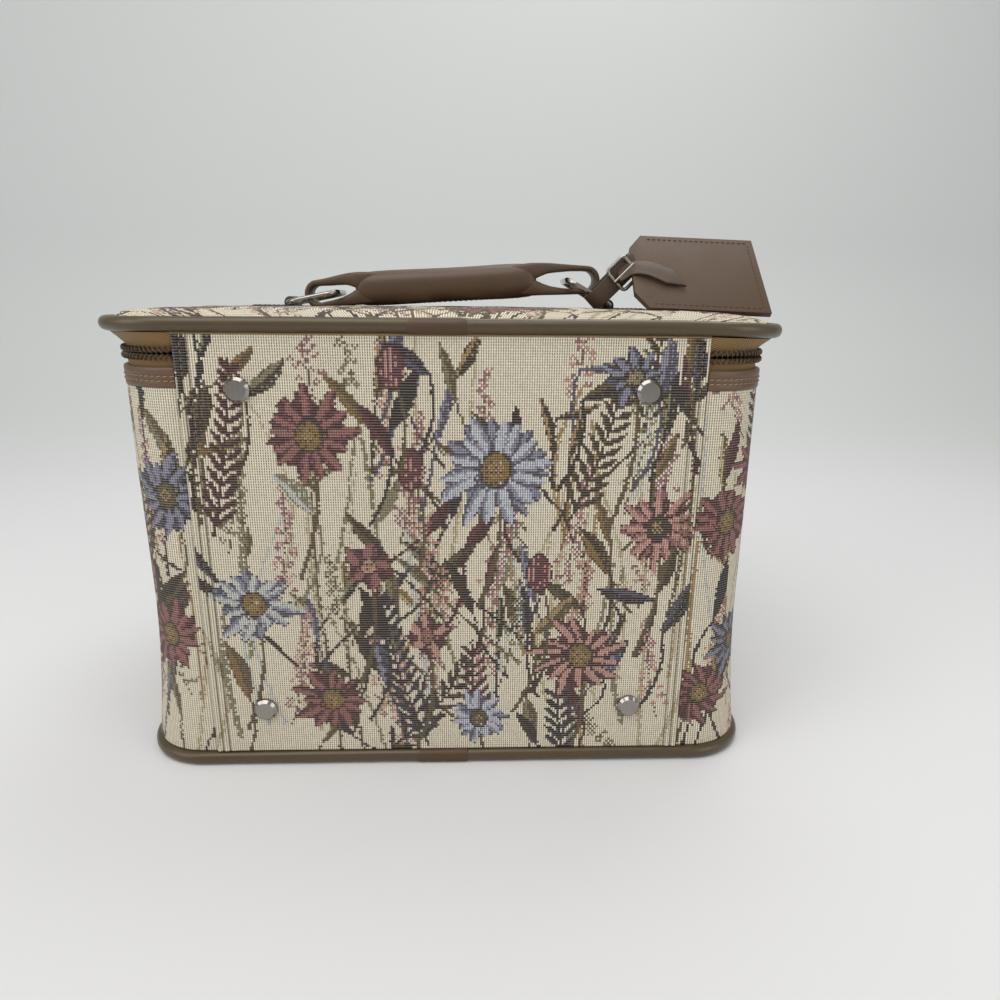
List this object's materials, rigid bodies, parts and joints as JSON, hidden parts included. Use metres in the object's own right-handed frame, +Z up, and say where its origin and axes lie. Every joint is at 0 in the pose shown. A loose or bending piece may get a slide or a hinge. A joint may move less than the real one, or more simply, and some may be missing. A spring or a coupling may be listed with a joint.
{
  "type": "soft-sided tapestry train case",
  "caption": "Soft-sided tapestry cosmetic case with a zip-round lid hinged at the back, piped edges, a leather carry handle on metal rings and a strapped leather luggage tag.",
  "frame": {"origin": "middle of the flat underside of the base panel", "axes": "+X along the case's length, -Y out of the hinge side, +Z up"},
  "size_m": [0.3356, 0.2065, 0.2743],
  "materials": {
    "tapestry": "woven",
    "board": "matt",
    "foam": "matt",
    "lining": "woven",
    "piping": "satin",
    "vinyl": "satin",
    "zip_tape": "twill",
    "zip_coil": "satin",
    "nickel": "polished",
    "zip_metal": "satin",
    "leather": "satin",
    "tag_leather": "satin"
  },
  "bodies": {
    "case": {"base_panel": "tapestry", "base_board": "board", "bottom_piping": "piping", "bottom_piping_join": "piping", "tapestry_wrap": "tapestry", "wall_board": "board", "body_lining": "lining", "hinge_panel": "tapestry", "panel_studs": "nickel", "stud_washers": "nickel", "zip_facing": "vinyl", "lower_zip_tape": "zip_tape", "lower_zip_coil": "zip_coil"},
    "lid": {"lid_piping": "piping", "lid_piping_join": "piping", "lid_panel": "tapestry", "lid_foam": "foam", "lid_board": "board", "lid_lining": "lining", "upper_zip_tape": "zip_tape", "upper_zip_coil": "zip_coil", "handle_tab_left": "leather", "handle_tab_right": "leather"},
    "ring_left": {"ring_left": "nickel"},
    "ring_right": {"ring_right": "nickel"},
    "handle": {"handle": "leather"},
    "slider_left": {"slider_left": "zip_metal"},
    "slider_right": {"slider_right": "zip_metal"},
    "pull_left": {"pull_left": "zip_metal"},
    "pull_right": {"pull_right": "zip_metal"},
    "tag": {"tag_front": "tag_leather", "tag_back": "tag_leather", "tag_strap": "leather", "tag_buckle": "nickel", "tag_prong": "nickel"}
  },
  "joints": [
    {"name": "lid_hinge", "type": "hinge", "parent": "case", "child": "lid", "pos_m": [0, -0.0996, 0.2266], "axis": [1, 0, 0], "range_deg": [0, 110]},
    {"name": "handle_lift", "type": "slide", "parent": "lid", "child": "handle", "axis": [0, 0, 1], "range_m": [0, 0.01]},
    {"name": "ring_left_tilt", "type": "hinge", "parent": "lid", "child": "ring_left", "pos_m": [-0.09123, 0, 0.236], "axis": [0, -1, 0], "range_deg": [0, 23]},
    {"name": "ring_right_tilt", "type": "hinge", "parent": "lid", "child": "ring_right", "pos_m": [0.09045, 0, 0.236], "axis": [0, 1, 0], "range_deg": [0, 29]},
    {"name": "slider_left_run", "type": "slide", "parent": "case", "child": "slider_left", "axis": [-1, 0, 0], "range_m": [0, 0.105]},
    {"name": "slider_right_run", "type": "slide", "parent": "case", "child": "slider_right", "axis": [1, 0, 0], "range_m": [0, 0.105]},
    {"name": "pull_left_swing", "type": "hinge", "parent": "slider_left", "child": "pull_left", "pos_m": [-0.0071, 0.0985, 0.2134], "axis": [1, 0, 0], "range_deg": [0, 150]},
    {"name": "pull_right_swing", "type": "hinge", "parent": "slider_right", "child": "pull_right", "pos_m": [0.0071, 0.0985, 0.2134], "axis": [1, 0, 0], "range_deg": [0, 150]},
    {"name": "tag_swing", "type": "hinge", "parent": "lid", "child": "tag", "pos_m": [0.08341, -0.0183, 0.24188], "axis": [-0.7071, 0, 0.7071], "range_deg": [0, 16]}
  ],
  "couplings": [
    {"joint": "ring_left_tilt", "follows": "handle_lift", "rad_per_m": 38.979},
    {"joint": "ring_right_tilt", "follows": "handle_lift", "rad_per_m": 49.458}
  ]
}
